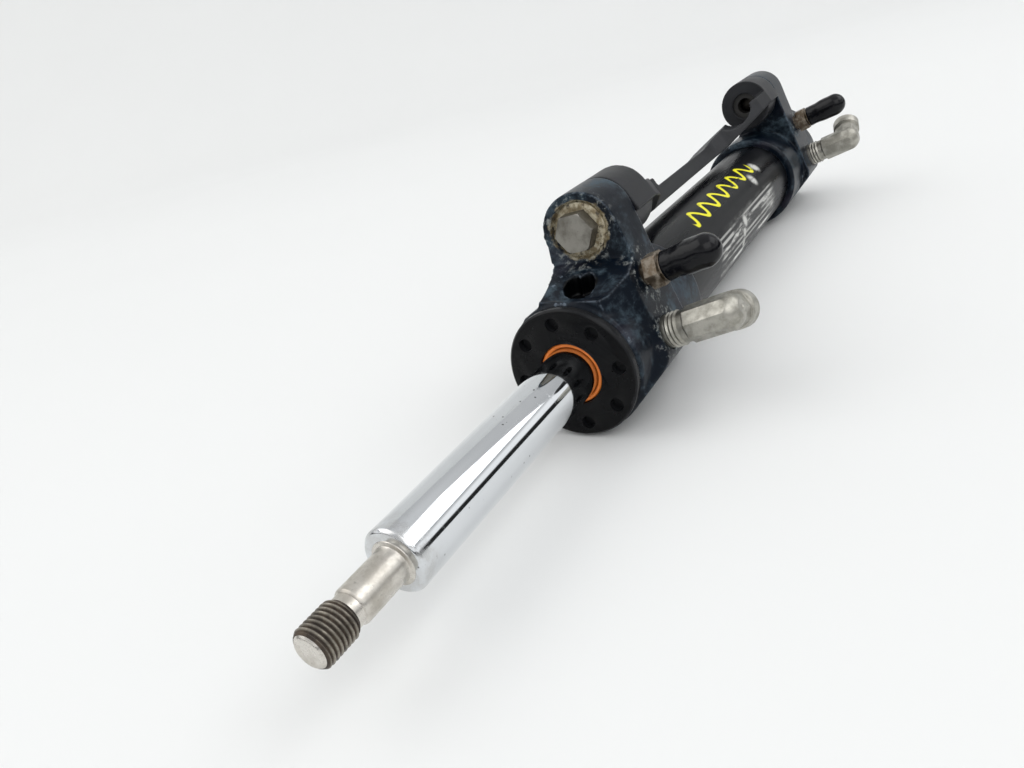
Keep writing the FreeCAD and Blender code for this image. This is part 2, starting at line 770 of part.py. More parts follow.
def outlet_rings(name):
    """The outlet's fine grooves and its broad end ring, along the elbow's own -Z axis."""
    corners = [("-outlet_start", "0")]
    for index in range(OUTLET_GROOVES):
        for step, radius in enumerate(("outlet_groove_radius", "outlet_radius")):
            start = "-outlet_start - outlet_pitch * %d" % (2 * index + step)
            corners += [(start, radius), (start + " - outlet_pitch", radius)]
    ring_start = "-outlet_start - outlet_pitch * %d" % (2 * OUTLET_GROOVES)
    corners += [
        (ring_start, "outlet_groove_radius"),
        (ring_start + " - outlet_pitch", "outlet_groove_radius"),
        (ring_start + " - outlet_pitch", "outlet_radius"),
        ("-outlet_end", "outlet_radius"),
        ("-outlet_end", "0"),
    ]
    rings = turned(name + "_outlet", corners)
    rings.Placement = Placement(Vector(), Rotation(Vector(0, 1, 0), -90))
    return bind(rings, Placement__Base__x="elbow_corner")


part("near_port_elbow", on_side(elbow("near_elbow"), "port_depth_back", "-port_drop",
                                "near_outlet_turn"))
part("far_port_elbow", on_side(elbow("far_elbow"), "body_length - port_depth_back", "-port_drop",
                               "far_outlet_turn"))


# --- bleed screws and caps ------------------------------------------------------------------------

def bleed_screw(name):
    """A hollow screw with a hexagon, a collar and a barbed nipple."""
    stem = turned(name + "_stem", [
        ("-bleed_thread_depth + body_gap", "0"),
        ("-bleed_thread_depth + body_gap", "bleed_thread_radius - 1"),
        ("-bleed_thread_depth + body_gap + 1", "bleed_thread_radius"),
        ("bleed_hex_end", "bleed_thread_radius"),
        ("bleed_hex_end", "bleed_collar_radius"),
        ("bleed_hex_end + bleed_collar_height", "bleed_collar_radius"),
        ("bleed_hex_end + bleed_collar_height", "nipple_radius"),
        ("nipple_end - nipple_radius / 2", "nipple_radius"),
        ("nipple_end", "nipple_radius / 2"),
        ("nipple_end", "0"),
    ])
    flats = hexagon(name + "_hexagon", "bleed_hex_flats", "-bleed_hex_end", "-bleed_hex_start")
    hole = disc(name + "_hole", "nipple_hole_radius", "-nipple_end - 1", "0")
    return cut(name, fuse(name + "_blank", stem, flats), hole)


def bleed_cap(name):
    """A soft cap over the nipple, a little wider towards its rounded closed end."""
    cavity = "nipple_radius + 2 * running_gap"
    return turned(name, [
        ("cap_start", cavity),
        ("cap_start", "cap_mouth_radius"),
        ("cap_end - cap_wall - cap_round", "cap_radius"),
        ("cap_end - cap_round / 2", "cap_radius - cap_round / 3"),
        ("cap_end", "cap_radius - cap_round"),
        ("cap_end", "0"),
        ("cap_end - cap_wall", "0"),
        ("cap_end - cap_wall", cavity),
    ])


for end, depth_back in (("near", "bleed_depth_back"), ("far", "body_length - bleed_depth_back")):
    part(end + "_bleed_screw", on_side(bleed_screw(end + "_screw"), depth_back, "bleed_rise"))
    part(end + "_bleed_cap", on_side(bleed_cap(end + "_cap"), depth_back, "bleed_rise"))


# --- checks and files -----------------------------------------------------------------------------

doc.recompute()
broken = [obj.Label for obj in doc.Objects if "Invalid" in obj.State or "Error" in obj.State]
broken += [obj.Label for obj in PARTS if obj.Shape.isNull() or not obj.Shape.isValid()]
if broken:
    raise RuntimeError("these objects failed: " + ", ".join(broken))

os.makedirs("parts", exist_ok=True)
for obj in PARTS:
    obj.Shape.exportStep("parts/%s.step" % obj.Label)
    print("%-22s %2d solids %9.0f mm3" % (obj.Label, len(obj.Shape.Solids), obj.Shape.Volume))
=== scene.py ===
import json
import math

import bmesh
import bpy
from mathutils import Matrix, Vector


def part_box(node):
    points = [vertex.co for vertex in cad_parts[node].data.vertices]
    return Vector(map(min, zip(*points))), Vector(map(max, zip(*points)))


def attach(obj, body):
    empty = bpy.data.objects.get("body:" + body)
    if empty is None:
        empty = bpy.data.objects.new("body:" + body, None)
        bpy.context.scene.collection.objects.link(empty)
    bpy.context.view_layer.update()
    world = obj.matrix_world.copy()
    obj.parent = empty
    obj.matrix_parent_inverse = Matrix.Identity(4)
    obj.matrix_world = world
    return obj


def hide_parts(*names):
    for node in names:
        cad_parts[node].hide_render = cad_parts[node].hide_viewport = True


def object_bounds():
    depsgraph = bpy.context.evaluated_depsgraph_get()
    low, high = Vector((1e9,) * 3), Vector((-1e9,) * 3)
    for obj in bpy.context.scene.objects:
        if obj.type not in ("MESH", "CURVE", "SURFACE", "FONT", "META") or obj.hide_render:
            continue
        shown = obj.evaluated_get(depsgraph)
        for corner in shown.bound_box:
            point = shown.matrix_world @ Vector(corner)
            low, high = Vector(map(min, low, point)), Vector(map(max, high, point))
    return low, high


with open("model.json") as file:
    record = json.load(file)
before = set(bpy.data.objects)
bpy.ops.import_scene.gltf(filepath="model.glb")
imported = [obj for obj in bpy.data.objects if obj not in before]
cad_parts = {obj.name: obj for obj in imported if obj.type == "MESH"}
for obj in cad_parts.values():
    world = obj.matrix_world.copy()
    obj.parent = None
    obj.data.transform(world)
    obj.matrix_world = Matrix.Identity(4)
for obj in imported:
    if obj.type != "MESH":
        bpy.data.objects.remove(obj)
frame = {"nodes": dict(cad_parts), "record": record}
CAD_BOX = [list(corner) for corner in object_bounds()]

# The cylinder's axis is X, the near gland's face is at X = 0 and the rod points to +X.
MM = 0.001
NODES = frame["nodes"]
RECORD = frame["record"]
MOUNTS = {mount["name"]: mount for mount in RECORD["mounts"]}
JOINTS = {joint["name"]: joint for joint in RECORD["behaviour"]["joints"]}
FAR_FACE = MOUNTS["far_plug_spanner_holes"]["pos_m"][0]
PIVOT = Vector((0, *JOINTS["link_pivot"]["pos_m"][1:]))
SIDE_OUT = Vector(JOINTS["near_bleed_turn"]["axis"])
SIDE_UP = Vector((1, 0, 0)).cross(SIDE_OUT)
PI2 = 2 * math.pi
BARREL_RADIUS = 20.65 * MM
OUTLET_FROM_CORNER = 9.85 * MM
BOLT_FLATS = 12.7 * MM
BOLT_TURN = math.radians(22)
# Where the painted shade of the casting's windows is centred.
WINDOW_FROM_FACE = 14.5 * MM
WINDOW_ACROSS = 2.6 * MM
WAVE_PITCH = 15 * MM
WAVE_SWAY = 3.6 * MM

# The photo's camera, solved from marked points.
VIEW_PLACE = Vector((0.19957, 0.11974, 0.10589))
VIEW_FORWARD = Vector((-0.73953, -0.53488, -0.40865)).normalized()
VIEW_ROLL = math.radians(-14.29)
VIEW_LENS = 26.51


# --- meshes ---------------------------------------------------------------------------------------

def add_piece(name, mesh, body, look, replaced=()):
    """A finished piece: shown, riding on its body, and standing for the CAD nodes that it replaces."""
    piece = bpy.data.objects.new(name, mesh)
    bpy.context.scene.collection.objects.link(piece)
    mesh.materials.clear()
    mesh.materials.append(look)
    for face in mesh.polygons:
        face.use_smooth = True
    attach(piece, body)
    if replaced:
        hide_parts(*replaced)
    return piece


def mesh_of(name, bm):
    bmesh.ops.recalc_face_normals(bm, faces=bm.faces)
    mesh = bpy.data.meshes.new(name)
    bm.to_mesh(mesh)
    bm.free()
    return mesh


def placed(origin, along, side):
    """A matrix whose X axis is along and whose Y axis is as near to side as it can be."""
    x = Vector(along).normalized()
    z = x.cross(Vector(side)).normalized()
    y = z.cross(x)
    return Matrix.Translation(Vector(origin)) @ Matrix((x, y, z)).transposed().to_4x4()


AXIS = placed((0, 0, 0), (1, 0, 0), (0, 1, 0))


def rings_mesh(bm, rings, closed_ends=True):
    """Join rings of equal length into a tube, with a flat face on each end."""
    rows = [[bm.verts.new(point) for point in ring] for ring in rings]
    count = len(rows[0])
    for row, following in zip(rows, rows[1:]):
        for index in range(count):
            after = (index + 1) % count
            bm.faces.new((row[index], row[after], following[after], following[index]))
    if closed_ends:
        bm.faces.new(rows[0])
        bm.faces.new(rows[-1])
    return rows


def lathe(bm, profile, place=AXIS, segments=96, shape=None):
    """Turn (x, radius) points about the place's X axis. shape(x, angle, radius) may change a radius."""
    rings = []
    for x, radius in profile:
        ring = []
        for index in range(segments):
            angle = PI2 * index / segments
            r = shape(x, angle, radius) if shape else radius
            ring.append(place @ Vector((x, r * math.cos(angle), r * math.sin(angle))))
        rings.append(ring)
    return rings_mesh(bm, rings)


def tube(bm, profile, place=AXIS, segments=96):
    """Turn a closed (x, radius) outline about the place's X axis into a ring with a hole."""
    rings = []
    for x, radius in profile + profile[:1]:
        rings.append([place @ Vector((x, radius * math.cos(PI2 * index / segments),
                                      radius * math.sin(PI2 * index / segments)))
                      for index in range(segments)])
    rings_mesh(bm, rings, closed_ends=False)
    bmesh.ops.remove_doubles(bm, verts=bm.verts, dist=1e-7)


def rounded(profile, radius, steps=3):
    """The open profile with each inner corner rounded by arcs of up to the given radius."""
    points = [Vector(point) for point in profile]
    result = [points[0]]
    for before, corner, after in zip(points, points[1:], points[2:]):
        arm = min(radius, (corner - before).length * 0.45, (after - corner).length * 0.45)
        start = corner + (before - corner).normalized() * arm
        end = corner + (after - corner).normalized() * arm
        for step in range(steps + 1):
            part = step / steps
            result.append(start.lerp(corner, part).lerp(corner.lerp(end, part), part))
    result.append(points[-1])
    return [tuple(point) for point in result]


def applied(name, mesh, *modifiers):
    """A mesh with modifiers applied. Each is its type and its settings."""
    carrier = bpy.data.objects.new(name, mesh)
    bpy.context.scene.collection.objects.link(carrier)
    for kind, settings in modifiers:
        modifier = carrier.modifiers.new(kind.lower(), kind)
        for key, value in settings.items():
            setattr(modifier, key, value)
    evaluated = carrier.evaluated_get(bpy.context.evaluated_depsgraph_get())
    result = bpy.data.meshes.new_from_object(evaluated)
    bpy.data.objects.remove(carrier)
    return result


def cast_copy(node, full):
    """A copy of a CAD node's mesh with its edges softened, as a casting's are.

    full is the voxel size and the rounds of smoothing.
    """
    voxel, rounds = full
    return applied(node + "_cast", NODES[node].data.copy(),
                   ("REMESH", {"mode": "VOXEL", "voxel_size": voxel, "adaptivity": 0.0}),
                   ("SMOOTH", {"factor": 0.5, "iterations": rounds}))


def machined_copy(node, width):
    """A copy of a CAD node's mesh with a small bright bevel on every sharp edge."""
    mesh = NODES[node].data.copy()
    bm = bmesh.new()
    bm.from_mesh(mesh)
    bmesh.ops.remove_doubles(bm, verts=bm.verts, dist=1e-6)
    bmesh.ops.dissolve_limit(bm, angle_limit=math.radians(0.5), verts=bm.verts, edges=bm.edges)
    bm.to_mesh(mesh)
    bm.free()
    return applied(node + "_machined", mesh,
                   ("BEVEL", {"width": width, "segments": 2, "limit_method": "ANGLE",
                              "angle_limit": math.radians(35), "harden_normals": False}))


# --- materials ------------------------------------------------------------------------------------

class Look:
    """A procedural material: each method adds a node and returns its output."""

    def __init__(self, name):
        self.material = bpy.data.materials.new(name)
        self.material.use_nodes = True
        self.tree = self.material.node_tree
        self.surface = self.tree.nodes["Principled BSDF"]
        self.where = self.node("ShaderNodeTexCoord").outputs["Object"]

    def node(self, kind, inputs=None, **settings):
        made = self.tree.nodes.new(kind)
        for key, value in settings.items():
            setattr(made, key, value)
        for key, value in (inputs or {}).items():
            self.feed(made.inputs[key], value)
        return made

    def feed(self, socket, value):
        if isinstance(value, bpy.types.NodeSocket):
            self.tree.links.new(value, socket)
        else:
            socket.default_value = value

    def set(self, **values):
        """Set the shader's inputs: numbers and colours directly, sockets by a link."""
        for key, value in values.items():
            self.feed(self.surface.inputs[key.replace("_", " ")], value)

    def stretch(self, scale):
        return self.node("ShaderNodeMapping", {"Vector": self.where, "Scale": scale}).outputs["Vector"]

    def noise(self, scale, detail=4.0, roughness=0.55, distortion=0.0, where=None):
        return self.node("ShaderNodeTexNoise", {
            "Vector": where or self.where, "Scale": scale, "Detail": detail,
            "Roughness": roughness, "Distortion": distortion}).outputs["Fac"]

    def cells(self, scale):
        made = self.node("ShaderNodeTexVoronoi", {"Vector": self.where, "Scale": scale})
        return made.outputs["Distance"]

    def ramp(self, value, low, high, start=0.0, end=1.0):
        """Map low..high to start..end with a smooth step."""
        return self.node("ShaderNodeMapRange", {
            "Value": value, "From Min": low, "From Max": high, "To Min": start, "To Max": end},
            interpolation_type="SMOOTHSTEP").outputs["Result"]

    def math(self, operation, first, second=0.0):
        made = self.node("ShaderNodeMath", operation=operation)
        self.feed(made.inputs[0], first)
        self.feed(made.inputs[1], second)
        return made.outputs[0]

    def blend(self, amount, first, second):
        """A colour between two colours."""
        made = self.node("ShaderNodeMix", data_type="RGBA")
        self.feed(made.inputs["Factor"], amount)
        self.feed(made.inputs[6], first)
        self.feed(made.inputs[7], second)
        return made.outputs[2]

    def level(self, amount, first, second):
        """A number between two numbers."""
        made = self.node("ShaderNodeMix", data_type="FLOAT")
        self.feed(made.inputs["Factor"], amount)
        self.feed(made.inputs[2], first)
        self.feed(made.inputs[3], second)
        return made.outputs[0]

    def split(self):
        parts = self.node("ShaderNodeSeparateXYZ", {"Vector": self.where})
        return parts.outputs["X"], parts.outputs["Y"], parts.outputs["Z"]

    def from_middle(self):
        """Distance along the barrel from the middle of the body, the same at both ends."""
        return self.math("ABSOLUTE", self.math("SUBTRACT", self.split()[0], FAR_FACE / 2))

    def distance(self, point, axes=(1, 1, 1)):
        """Distance from a point, counting only the given axes."""
        moved = self.node("ShaderNodeVectorMath", operation="SUBTRACT")
        self.feed(moved.inputs[0], self.where)
        self.feed(moved.inputs[1], tuple(point))
        masked = self.node("ShaderNodeVectorMath", operation="MULTIPLY")
        self.feed(masked.inputs[0], moved.outputs[0])
        self.feed(masked.inputs[1], axes)
        length = self.node("ShaderNodeVectorMath", operation="LENGTH")
        self.feed(length.inputs[0], masked.outputs[0])
        return length.outputs["Value"]

    def edges(self, low, high):
        """1 on convex edges of a dense mesh."""
        point = self.node("ShaderNodeNewGeometry").outputs["Pointiness"]
        return self.ramp(point, low, high)

    def bump(self, height, strength, distance):
        made = self.node("ShaderNodeBump", {"Strength": strength, "Distance": distance,
                                            "Height": height})
        self.feed(self.surface.inputs["Normal"], made.outputs["Normal"])


def casting_look():
    """Dark blue-black coating, mottled blue-grey, with salt at the bolts and fittings, lighter edges
    that are partly wear and partly a painted highlight, and painted shade in the windows.
    """
    look = Look("casting_coating")
    cloud = look.noise(70, detail=9, roughness=0.66, distortion=0.6)
    fine = look.noise(420, detail=6, roughness=0.7)
    mixed = look.math("ADD", look.math("MULTIPLY", cloud, 0.72), look.math("MULTIPLY", fine, 0.28))
    mottle = look.ramp(mixed, 0.48, 0.66)
    tint = look.blend(mottle, (0.0014, 0.0042, 0.0092, 1), (0.052, 0.077, 0.098, 1))
    purple = look.ramp(look.noise(38, detail=4), 0.52, 0.7)
    tint = look.blend(look.math("MULTIPLY", purple, 0.45), tint, (0.036, 0.031, 0.046, 1))
    bloom = look.math("MULTIPLY", look.ramp(look.noise(48, detail=7), 0.56, 0.68),
                      look.ramp(look.noise(900, detail=5, roughness=0.75), 0.5, 0.62))
    tint = look.blend(look.math("MULTIPLY", bloom, 0.35), tint, (0.2, 0.22, 0.24, 1))
    salt = look.math("MULTIPLY", salt_near_fittings(look), look.ramp(fine, 0.52, 0.64))
    tint = look.blend(look.math("MULTIPLY", salt, 0.7), tint, (0.42, 0.44, 0.42, 1))
    rust_zone = bolt_seat(look)
    crust = look.noise(300, detail=7, roughness=0.75)
    tint = look.blend(rust_zone, tint, crust_tint(look, crust))
    # Lighter convex edges: partly rubbed wear, partly a painted highlight along the ridges.
    lighter_edges = look.math("MULTIPLY", look.edges(0.512, 0.56), look.ramp(fine, 0.38, 0.55))
    tint = look.blend(look.math("MULTIPLY", lighter_edges, 0.5), tint, (0.17, 0.21, 0.26, 1))
    # Painted shade: the windows below the ears are darkened to near black, standing in for the shade
    # inside them.
    painted_shade_low_mask = look.ramp(look.split()[2], 0.0288, 0.0274)
    for window_x in (-WINDOW_FROM_FACE, FAR_FACE + WINDOW_FROM_FACE):
        depth = look.ramp(look.distance((window_x, WINDOW_ACROSS, 0), (1, 1, 0)), 0.0066, 0.0056)
        tint = look.blend(look.math("MULTIPLY", depth, painted_shade_low_mask), tint, (0.0008, 0.001, 0.0015, 1))
    rough = look.level(mottle, 0.3, 0.52)
    rough = look.level(look.math("MAXIMUM", salt, rust_zone), rough, 0.85)
    look.set(Base_Color=tint, Roughness=rough, Specular_IOR_Level=0.15)
    height = look.math("ADD", look.math("MULTIPLY", fine, 0.35), look.math(
        "MULTIPLY", look.math("MAXIMUM", rust_zone, salt), crust))
    look.bump(height, strength=0.4, distance=0.0003)
    return look.material


def crust_tint(look, crust):
    """Cream and tan corrosion with dark brown flecks."""
    tint = look.blend(look.ramp(crust, 0.4, 0.6), (0.2, 0.155, 0.085, 1), (0.52, 0.47, 0.35, 1))
    flecks = look.ramp(look.noise(520, detail=6, roughness=0.7), 0.53, 0.63)
    return look.blend(look.math("MULTIPLY", flecks, 0.85), tint, (0.03, 0.024, 0.018, 1))


def salt_near_fittings(look):
    """1 close to the ports and bleed screws, and round the rim of the bolts' seats."""
    zones = None
    places = [JOINTS["near_bleed_turn"]["pos_m"], JOINTS["far_bleed_turn"]["pos_m"]]
    places += [port_place("near").translation, port_place("far").translation]
    for place in places:
        zone = look.ramp(look.distance(place), 0.0125, 0.0065)
        zones = zone if zones is None else look.math("MAXIMUM", zones, zone)
    rim = look.distance(PIVOT, (0, 1, 1))
    rim_zone = look.math("MULTIPLY", look.ramp(rim, 0.0145, 0.0108), 0.8)
    rim_zone = look.math("MULTIPLY", rim_zone, look.ramp(look.from_middle(), 0.121, 0.127))
    return look.math("MAXIMUM", zones, rim_zone)


def bolt_seat(look):
    """1 on the corroded seat round each pivot bolt."""
    ring = look.ramp(look.math("ADD", look.distance(PIVOT, (0, 1, 1)), look.math(
        "MULTIPLY", look.noise(330, detail=6), 0.004)), 0.0128, 0.0118)
    return look.math("MULTIPLY", ring, look.ramp(look.from_middle(), 0.1225, 0.1245))


def port_place(end):
    """Where an elbow's thread enters the port side: X outwards, Y up along the side face."""
    mount = MOUNTS[end + "_hose_outlet"]
    bleed_seat = Vector(JOINTS[end + "_bleed_turn"]["pos_m"])
    corner = Vector(mount["pos_m"]) - Vector(mount["axis"]) * OUTLET_FROM_CORNER
    return placed(corner - SIDE_OUT * (corner - bleed_seat).dot(SIDE_OUT), SIDE_OUT, SIDE_UP)


def gland_look():
    """Black anodising, a little smudged, with specks of dust, lighter edges that are partly wear and
    partly a painted highlight, and a painted highlight on the rim's side.
    """
    look = Look("gland_anodising")
    smudge = look.noise(60, detail=6, roughness=0.6)
    dust = look.ramp(look.noise(900, detail=5, roughness=0.7), 0.66, 0.76)
    # Lighter convex edges: partly rubbed wear, partly a painted highlight.
    lighter_edges = look.math("MULTIPLY", look.edges(0.52, 0.6), look.ramp(smudge, 0.35, 0.6))
    tint = look.blend(look.math("MULTIPLY", dust, 0.3), (0.0022, 0.0024, 0.003, 1),
                      (0.09, 0.09, 0.09, 1))
    tint = look.blend(look.math("MULTIPLY", lighter_edges, 0.5), tint, (0.16, 0.16, 0.17, 1))
    # Painted highlight: the rim's side is made lighter than the face.
    rim = look.ramp(look.from_middle(), 0.1534, 0.1529)
    tint = look.blend(look.math("MULTIPLY", rim, 0.6), tint, (0.018, 0.019, 0.021, 1))
    look.set(Base_Color=tint, Roughness=look.ramp(smudge, 0.3, 0.75, 0.22, 0.36),
             Specular_IOR_Level=0.13)
    look.bump(look.noise(1400, detail=3), strength=0.05, distance=0.00005)
    return look.material


def barrel_look():
    """Black anodised tube with a plain yellow wave, white lines and salt scuffs on its port side."""
    look = Look("barrel_anodising")
    x, y, z = look.split()
    around = look.math("MULTIPLY", look.math("ARCTAN2", z, y), BARREL_RADIUS)
    grain = look.noise(520, detail=6, roughness=0.7, where=look.stretch((0.3, 1, 1)))
    streaks = look.noise(60, detail=6, roughness=0.65, where=look.stretch((0.35, 3.2, 3.2)))
    marked = look.math("MULTIPLY", look.ramp(x, -0.108, -0.114), look.ramp(x, -0.212, -0.2))
    broken = look.ramp(look.noise(170, detail=5, where=look.stretch((0.25, 1, 1))), 0.36, 0.5)
    lines = None
    for degrees, width, level in ((-21, 1.0, 1.0), (-9, 0.45, 0.55), (-2, 0.5, 0.6), (5, 0.4, 0.5),
                                  (13, 0.6, 0.65), (20, 0.4, 0.5)):
        line_at = BARREL_RADIUS * math.radians(degrees)
        away = look.math("ABSOLUTE", look.math("SUBTRACT", around, line_at))
        line = look.math("MULTIPLY", look.ramp(away, (width + 0.3) * MM, (width - 0.2) * MM), level)
        lines = line if lines is None else look.math("MAXIMUM", lines, line)
    lines = look.math("MULTIPLY", look.math("MULTIPLY", lines, broken), marked)
    zone = look.math("MULTIPLY", look.ramp(around, -0.0125, -0.004),
                     look.ramp(around, 0.0105, 0.003))
    scuffs = look.math("MULTIPLY", look.ramp(streaks, 0.5, 0.62), look.math("MULTIPLY", zone, marked))
    scuffs = look.math("MULTIPLY", scuffs, look.ramp(grain, 0.35, 0.6))
    for place, size in SCUFF_SPOTS:
        spot = look.ramp(look.distance(place), size, size * 0.35)
        scuffs = look.math("MAXIMUM", scuffs, look.math("MULTIPLY", spot, look.ramp(grain, 0.3, 0.5)))
    marks = look.math("MAXIMUM", look.math("MULTIPLY", scuffs, 0.8), lines)
    tint = look.blend(look.ramp(streaks, 0.35, 0.7), (0.003, 0.0034, 0.0045, 1),
                      (0.009, 0.0095, 0.011, 1))
    tint = look.blend(marks, tint, (0.72, 0.72, 0.69, 1))
    tint = look.blend(yellow_wave(look, x, around), tint, (0.84, 0.79, 0.03, 1))
    look.set(Base_Color=tint, Specular_IOR_Level=0.13, Roughness=look.level(
        marks, look.ramp(streaks, 0.3, 0.7, 0.24, 0.36), 0.6))
    look.bump(grain, strength=0.06, distance=0.0001)
    return look.material


def on_barrel(x, degrees):
    """A point on the barrel's surface: X in millimetres, and an angle from +Y towards +Z."""
    angle = math.radians(degrees)
    return Vector((x * MM, BARREL_RADIUS * math.cos(angle), BARREL_RADIUS * math.sin(angle)))


SCUFF_SPOTS = (
    (on_barrel(-206, 54), 4.5 * MM), (on_barrel(-190, 43), 4.5 * MM), (on_barrel(-152, 12), 4.0 * MM),
    (on_barrel(-148, 0), 3.2 * MM), (on_barrel(-146, -12), 3.0 * MM),
)


def yellow_wave(look, x, around):
    """1 on a hand-painted wave of even pitch along the barrel."""
    phase = look.math("MULTIPLY", x, PI2 / WAVE_PITCH)
    sway = look.math("MULTIPLY", look.math("SINE", phase), WAVE_SWAY)
    middle = look.math("ADD", sway, BARREL_RADIUS * math.radians(62))
    steep = look.math("MULTIPLY", look.math("COSINE", phase), WAVE_SWAY * PI2 / WAVE_PITCH)
    lean = look.math("SQRT", look.math("ADD", look.math("MULTIPLY", steep, steep), 1.0))
    away = look.math("DIVIDE", look.math("ABSOLUTE", look.math("SUBTRACT", around, middle)), lean)
    paint = look.ramp(away, 1.15 * MM, 0.85 * MM)
    paint = look.math("MULTIPLY", paint, look.ramp(look.noise(260, detail=5), 0.28, 0.42))
    ends = look.math("MULTIPLY", look.ramp(x, -0.1065, -0.1075), look.ramp(x, -0.2035, -0.2025))
    return look.math("MULTIPLY", paint, ends)


def chrome_look():
    """Bright chrome with lengthwise scratches, rub marks round the rod and small pits."""
    look = Look("rod_chrome_plating")
    x = look.split()[0]
    long_lines = look.noise(900, detail=5, roughness=0.7, where=look.stretch((0.012, 1, 1)))
    scratches = look.ramp(long_lines, 0.6, 0.66)
    rub = look.noise(700, detail=4, where=look.stretch((1, 0.05, 0.05)))
    rub_zone = look.ramp(rub, 0.58, 0.72)
    pits = look.math("MULTIPLY", look.ramp(look.cells(420), 0.16, 0.09),
                     look.ramp(look.noise(70, detail=3), 0.54, 0.64))
    end_wear = look.math("MULTIPLY", look.ramp(x, 0.088, 0.0985), look.ramp(look.noise(
        300, detail=6), 0.36, 0.6))
    cloud = look.noise(40, detail=5)
    tint = look.blend(cloud, (0.62, 0.645, 0.67, 1), (0.77, 0.785, 0.8, 1))
    tint = look.blend(look.math("MULTIPLY", pits, 0.9), tint, (0.04, 0.035, 0.03, 1))
    tint = look.blend(look.math("MULTIPLY", end_wear, 0.35), tint, (0.42, 0.4, 0.37, 1))
    marks = look.math("MAXIMUM", scratches, look.math("MULTIPLY", rub_zone, 0.5))
    rough = look.level(marks, 0.05, 0.2)
    rough = look.level(look.math("MULTIPLY", end_wear, 0.8), rough, 0.3)
    look.set(Base_Color=tint, Metallic=1.0, Roughness=rough)
    height = look.math("SUBTRACT", look.math("MULTIPLY", long_lines, 0.3), pits)
    look.bump(height, strength=0.14, distance=0.0001)
    return look.material


def steel_look(name, tint, dull, rough=0.3):
    """Machined steel: turning lines, patches of dull tarnish and a fine grain."""
    look = Look(name)
    patch = look.ramp(look.noise(110, detail=7, roughness=0.65), 0.4, 0.66)
    turning = look.noise(1600, detail=3, where=look.stretch((1, 0.06, 0.06)))
    speck = look.ramp(look.noise(900, detail=5, roughness=0.7), 0.58, 0.7)
    colour = look.blend(patch, tint, dull)
    dark = tuple(c * 0.3 for c in dull[:3]) + (1,)
    colour = look.blend(look.math("MULTIPLY", speck, 0.35), colour, dark)
    look.set(Base_Color=colour, Metallic=1.0, Roughness=look.level(patch, rough, rough + 0.16))
    height = look.math("ADD", look.math("MULTIPLY", turning, 0.5), speck)
    look.bump(height, strength=0.12, distance=0.0001)
    return look.material


def thread_look():
    """Grimy stud thread: brown-black in the grooves, bare metal on the crests."""
    look = Look("stud_thread_grime")
    grime = look.ramp(look.noise(260, detail=7, roughness=0.7), 0.36, 0.6)
    depth = look.distance((0, 0, 0), (0, 1, 1))
    crest = look.ramp(depth, 0.00505, 0.00545)
    bare = look.math("MULTIPLY", crest, look.level(grime, 1.0, 0.4))
    tint = look.blend(bare, look.blend(grime, (0.09, 0.065, 0.045, 1), (0.03, 0.022, 0.017, 1)),
                      (0.31, 0.285, 0.24, 1))
    look.set(Base_Color=tint, Metallic=look.level(bare, 0.4, 1.0),
             Roughness=look.level(bare, 0.6, 0.3))
    look.bump(look.noise(1200, detail=4), strength=0.2, distance=0.0001)
    return look.material


def nickel_look():
    """Satin nickel plate over a forging, dulled in patches, with grime in its grooves."""
    look = Look("elbow_nickel_plate")
    patch = look.ramp(look.noise(140, detail=7, roughness=0.68), 0.38, 0.64)
    peel = look.noise(700, detail=4, roughness=0.6)
    spots = look.ramp(look.noise(1100, detail=4, roughness=0.7), 0.62, 0.7)
    tint = look.blend(patch, (0.46, 0.445, 0.4, 1), (0.3, 0.29, 0.255, 1))
    tint = look.blend(look.math("MULTIPLY", spots, 0.4), tint, (0.16, 0.14, 0.11, 1))
    look.set(Base_Color=tint, Metallic=1.0, Roughness=look.level(patch, 0.34, 0.5))
    height = look.math("ADD", peel, look.math("MULTIPLY", spots, -0.5))
    look.bump(height, strength=0.16, distance=0.00015)
    return look.material


def brass_look():
    """Bleed screw's brass, tarnished brown and crusted near its seat."""
    look = Look("bleed_brass_tarnish")
    crust = look.ramp(look.noise(330, detail=7, roughness=0.72), 0.42, 0.62)
    tint = look.blend(crust, (0.15, 0.115, 0.08, 1), (0.3, 0.26, 0.21, 1))
    dark = look.ramp(look.noise(240, detail=5), 0.56, 0.7)
    tint = look.blend(look.math("MULTIPLY", dark, 0.7), tint, (0.035, 0.027, 0.02, 1))
    look.set(Base_Color=tint, Metallic=look.level(crust, 0.85, 0.25),
             Roughness=look.level(crust, 0.36, 0.72))
    look.bump(look.noise(800, detail=6, roughness=0.7), strength=0.4, distance=0.0002)
    return look.material


def vinyl_look():
    """Soft black vinyl with a faint sheen and a few wrinkles."""
    look = Look("cap_vinyl")
    waves = look.noise(170, detail=3, roughness=0.5)
    dust = look.ramp(look.noise(1300, detail=5, roughness=0.7), 0.66, 0.76)
    tint = look.blend(look.math("MULTIPLY", dust, 0.1), (0.0016, 0.0018, 0.0032, 1),
                      (0.14, 0.14, 0.15, 1))
    look.set(Base_Color=tint, Roughness=look.ramp(waves, 0.3, 0.7, 0.14, 0.26),
             Specular_IOR_Level=0.24)
    look.bump(waves, strength=0.4, distance=0.0008)
    return look.material


